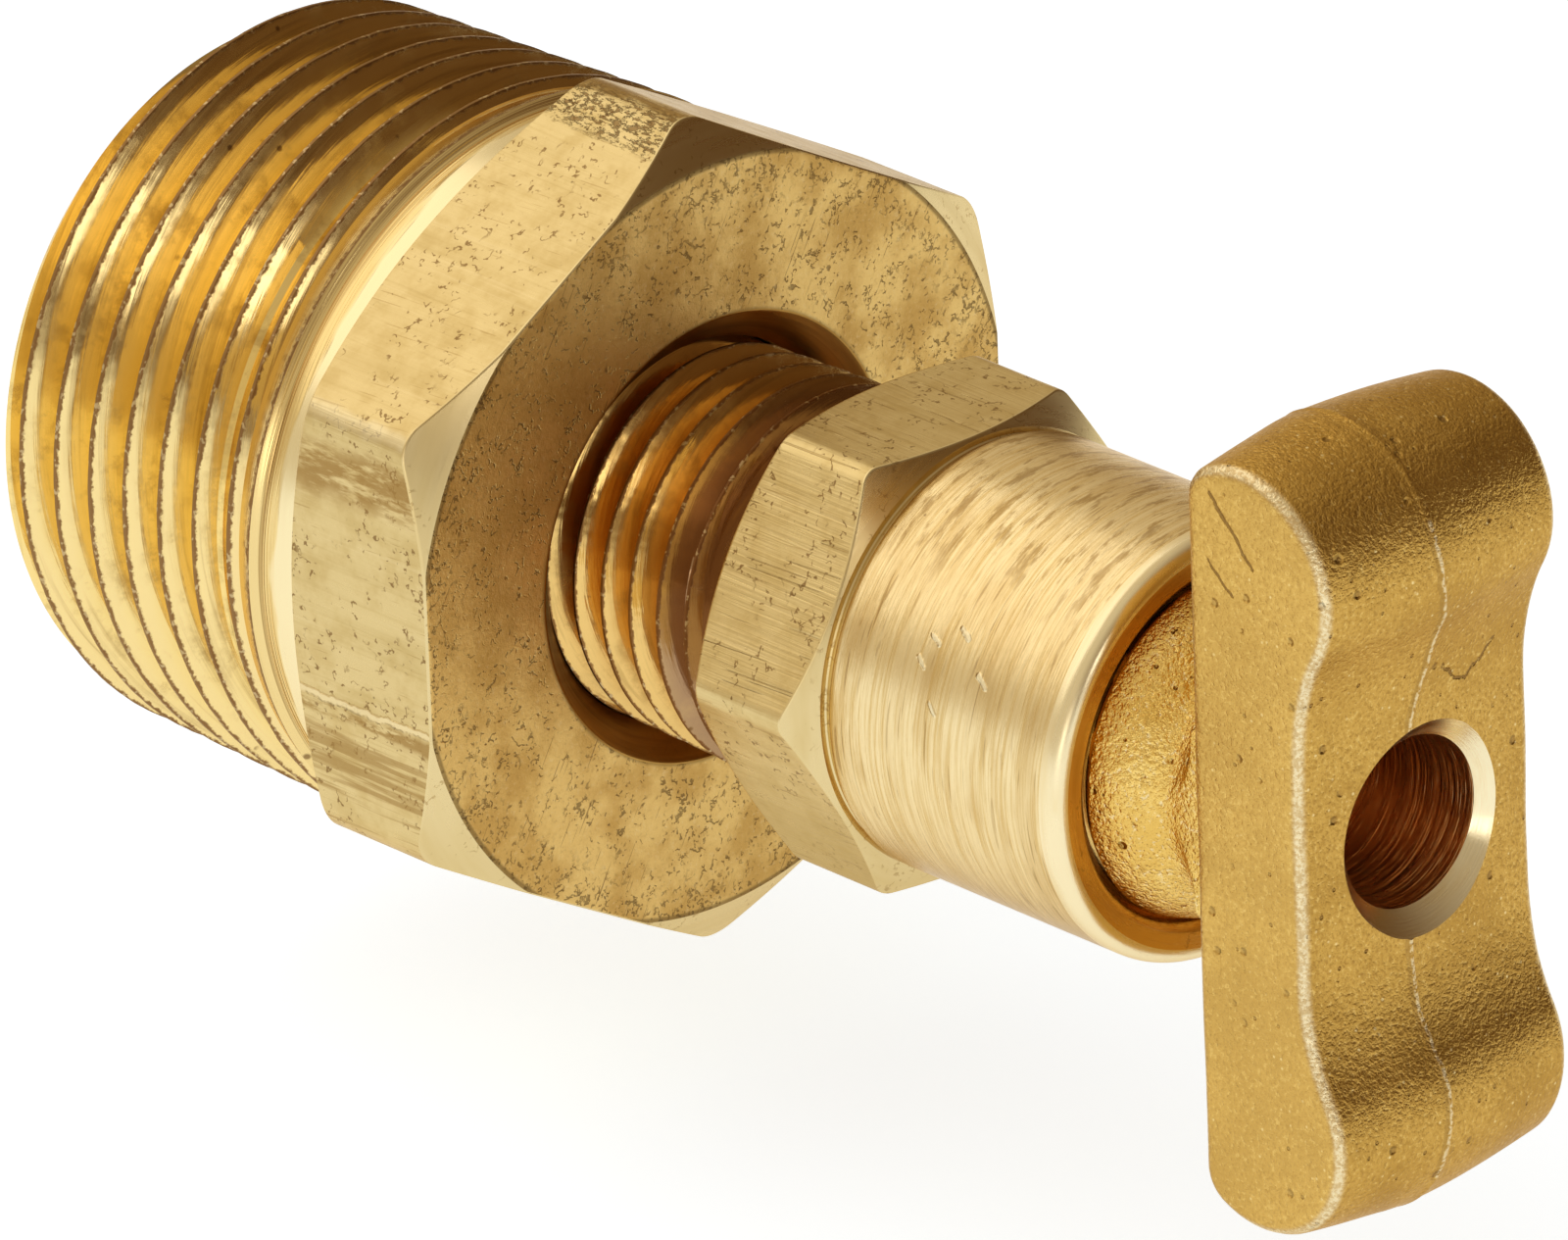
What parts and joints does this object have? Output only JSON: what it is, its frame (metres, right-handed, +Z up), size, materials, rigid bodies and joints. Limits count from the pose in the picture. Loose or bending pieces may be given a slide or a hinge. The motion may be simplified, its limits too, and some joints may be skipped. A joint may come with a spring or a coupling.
{
  "type": "drain cock",
  "caption": "Brass tee-handle drain cock with a hollow screw stem and internal cone seat, screwed into a hexagon reducing bushing with a tapered pipe thread.",
  "frame": {"origin": "on the axis, at the inlet end of the bushing's pipe thread", "axes": "+X along the axis from the inlet thread to the tee handle, +Z up along the upright handle"},
  "size_m": [0.0587, 0.027, 0.0308],
  "materials": {
    "bushing_brass": "turned and drawn bar, lightly tarnished",
    "body_brass": "turned, brushed round the barrel",
    "forged_brass": "forged and shot-blasted, matte",
    "ring_rubber": "smooth nitrile rubber"
  },
  "bodies": {
    "valve_body": {"hex_bushing": "bushing_brass", "cock_body": "body_brass"},
    "stem_seal": {"stem_o_ring": "ring_rubber"},
    "handle": {"tee_handle": "forged_brass"}
  },
  "joints": [
    {"name": "stem_travel", "type": "slide", "parent": "valve_body", "child": "stem_seal", "axis": [1, 0, 0], "range_m": [0, 0.00222]},
    {"name": "handle_turn", "type": "hinge", "parent": "stem_seal", "child": "handle", "pos_m": [0.047, 0, 0], "axis": [1, 0, 0], "range_deg": [0, 630]}
  ],
  "couplings": [
    {"joint": "handle_turn", "follows": "stem_travel", "rad_per_m": 4947.4}
  ]
}
